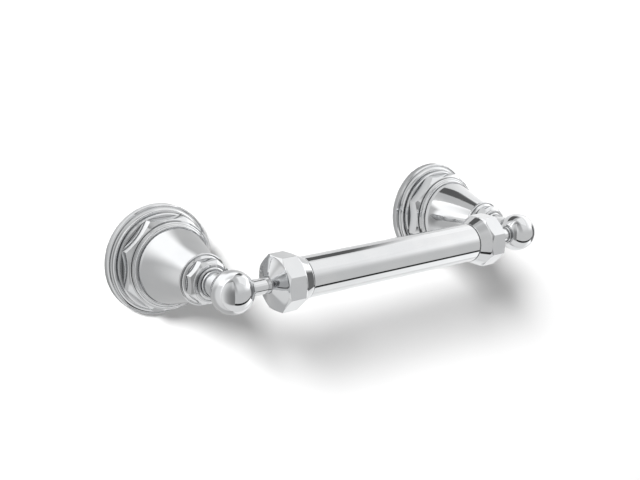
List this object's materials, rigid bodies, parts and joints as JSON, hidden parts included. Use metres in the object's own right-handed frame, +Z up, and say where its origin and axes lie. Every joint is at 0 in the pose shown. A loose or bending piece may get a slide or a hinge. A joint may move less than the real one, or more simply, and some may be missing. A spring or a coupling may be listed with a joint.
{
  "type": "toilet paper holder",
  "caption": "Wall-mounted toilet paper holder with two turned posts ending in balls and a sprung roller with octagonal end caps between them.",
  "frame": {"origin": "on the wall plane, midway between the two posts and level with the roller's axis", "axes": "+X along the roller to the right as seen from the room, +Y into the wall, +Z up; the holder stands out towards -Y"},
  "size_m": [0.2372, 0.0833, 0.0554],
  "materials": {
    "polished_chrome": "mirror-polished chrome plate",
    "plated_steel": "zinc-plated steel",
    "black_steel": "black oxide steel",
    "white_nylon": "moulded nylon"
  },
  "bodies": {
    "holder": {"left_wall_bracket": "plated_steel", "left_flange": "polished_chrome", "left_base_octagon": "polished_chrome", "left_cone_column": "polished_chrome", "left_collar_ring": "polished_chrome", "left_small_octagon": "polished_chrome", "left_ball_head": "polished_chrome", "left_spindle_bush": "polished_chrome", "left_post_bolt": "plated_steel", "left_grub_screw": "black_steel", "right_wall_bracket": "plated_steel", "right_flange": "polished_chrome", "right_base_octagon": "polished_chrome", "right_cone_column": "polished_chrome", "right_collar_ring": "polished_chrome", "right_small_octagon": "polished_chrome", "right_ball_head": "polished_chrome", "right_spindle_bush": "polished_chrome", "right_post_bolt": "plated_steel", "right_grub_screw": "black_steel"},
    "roller": {"roller_tube": "polished_chrome", "left_end_cap": "polished_chrome", "right_end_cap": "polished_chrome", "fixed_spindle": "polished_chrome", "spindle_spring": "plated_steel", "spring_seat": "white_nylon"},
    "sprung_pin": {"sprung_spindle": "polished_chrome"}
  },
  "joints": [
    {"name": "roller_spin", "type": "hinge", "parent": "holder", "child": "roller", "pos_m": [0, -0.0705, 0], "axis": [1, 0, 0], "continuous": true},
    {"name": "spindle_plunge", "type": "slide", "parent": "roller", "child": "sprung_pin", "axis": [-1, 0, 0], "range_m": [0, 0.008], "stiffness_N_per_m": 500, "springref_m": -0.01, "deforming": ["spindle_spring"]}
  ]
}
